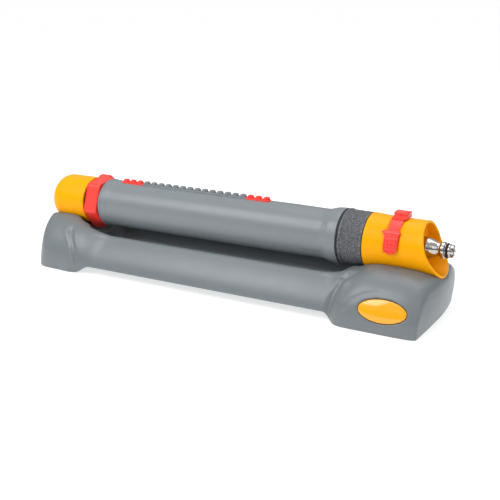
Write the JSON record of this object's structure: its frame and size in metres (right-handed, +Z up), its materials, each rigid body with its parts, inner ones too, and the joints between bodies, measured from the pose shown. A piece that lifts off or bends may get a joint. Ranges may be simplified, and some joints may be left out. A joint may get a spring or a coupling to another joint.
{
  "type": "oscillating lawn sprinkler",
  "caption": "Oscillating lawn sprinkler: long spray tube with a row of jets between an end cap and a water-turbine housing, on a trough-shaped base with hose inlet.",
  "frame": {"origin": "middle of the overall footprint, on the ground plane the base stands on", "axes": "+X along the spray tube towards the hose inlet, +Z up, +Y to the back"},
  "size_m": [0.5063, 0.14, 0.1095],
  "materials": {
    "grey_shell": "satin moulded",
    "grey_tube": "satin moulded",
    "dark_grip": "fine dotted grip texture",
    "grey_rubber": "soft matt",
    "black_rubber": "soft matt",
    "black_plastic": "satin moulded",
    "orange_gloss": "glossy moulded",
    "red_plastic": "semi-gloss moulded",
    "red_rubber": "soft satin",
    "white_acetal": "satin moulded",
    "brass": "machined",
    "steel": "ground",
    "chrome": "bright plated"
  },
  "bodies": {
    "base": {"base_shell": "grey_shell", "oval_badge": "orange_gloss", "end_cap": "orange_gloss", "cap_bush": "white_acetal", "motor_housing": "orange_gloss", "fixing_screws": "steel", "drive_case": "black_plastic", "face_seal": "black_rubber", "shaft_seal": "black_rubber", "bearing_plate": "white_acetal", "gear_plate": "white_acetal", "gear_pins": "steel", "nozzle_plate": "black_plastic", "flap_pin": "steel", "inlet_plate": "black_plastic", "case_o_ring": "black_rubber", "inlet_nipple": "chrome", "inlet_o_ring": "black_rubber", "nipple_washer": "black_rubber", "inlet_filter": "white_acetal"},
    "spray_tube": {"spray_tube": "grey_tube", "water_pipe": "black_plastic", "jet_strip": "grey_rubber", "left_end_jets": "red_rubber", "right_end_jets": "red_rubber", "tube_hub": "black_plastic", "pipe_o_ring": "black_rubber", "drive_gear": "white_acetal"},
    "width_control": {"width_ring": "red_plastic", "width_valve_tube": "white_acetal", "stem_seal": "black_rubber"},
    "flow_control": {"grip_ring": "dark_grip", "flow_disc": "white_acetal"},
    "idler_c": {"idler_gear_c": "white_acetal"},
    "idler_b": {"idler_gear_b": "white_acetal"},
    "turbine": {"turbine_shaft": "steel", "turbine_pinion": "brass", "turbine_wheel": "white_acetal"},
    "flap": {"reversing_flap": "red_plastic"},
    "front_range": {"front_range_slider": "red_plastic"},
    "rear_range": {"rear_range_slider": "red_plastic"}
  },
  "joints": [
    {"name": "tube_oscillation", "type": "hinge", "parent": "base", "child": "spray_tube", "pos_m": [0.1381, 0, 0.0742], "axis": [1, 0, 0], "range_deg": [-45, 45]},
    {"name": "width_twist", "type": "hinge", "parent": "spray_tube", "child": "width_control", "pos_m": [-0.1819, 0, 0.0742], "axis": [1, 0, 0], "range_deg": [0, 60]},
    {"name": "flow_twist", "type": "hinge", "parent": "base", "child": "flow_control", "pos_m": [0.1511, 0, 0.0742], "axis": [1, 0, 0], "range_deg": [0, 60]},
    {"name": "front_range_slide", "type": "hinge", "parent": "base", "child": "front_range", "pos_m": [0.1961, 0, 0.0742], "axis": [1, 0, 0], "range_deg": [-30, 0]},
    {"name": "rear_range_slide", "type": "hinge", "parent": "base", "child": "rear_range", "pos_m": [0.1961, 0, 0.0742], "axis": [1, 0, 0], "range_deg": [-60, 0]},
    {"name": "idler_c_spin", "type": "hinge", "parent": "base", "child": "idler_c", "pos_m": [0.1681, 0, 0.061], "axis": [1, 0, 0], "range_deg": [-95, 95]},
    {"name": "idler_b_spin", "type": "hinge", "parent": "base", "child": "idler_b", "pos_m": [0.1681, -0.01143, 0.0676], "axis": [1, 0, 0], "range_deg": [-185, 185]},
    {"name": "turbine_spin", "type": "hinge", "parent": "base", "child": "turbine", "pos_m": [0.1831, 0, 0.0742], "axis": [1, 0, 0], "range_deg": [-365, 365]},
    {"name": "flap_rock", "type": "hinge", "parent": "base", "child": "flap", "pos_m": [0.2021, 0, 0.0837], "axis": [1, 0, 0], "range_deg": [-12, 12]}
  ],
  "couplings": [
    {"joint": "idler_c_spin", "follows": "tube_oscillation", "ratio": -2},
    {"joint": "idler_b_spin", "follows": "tube_oscillation", "ratio": 4},
    {"joint": "turbine_spin", "follows": "tube_oscillation", "ratio": -8}
  ]
}
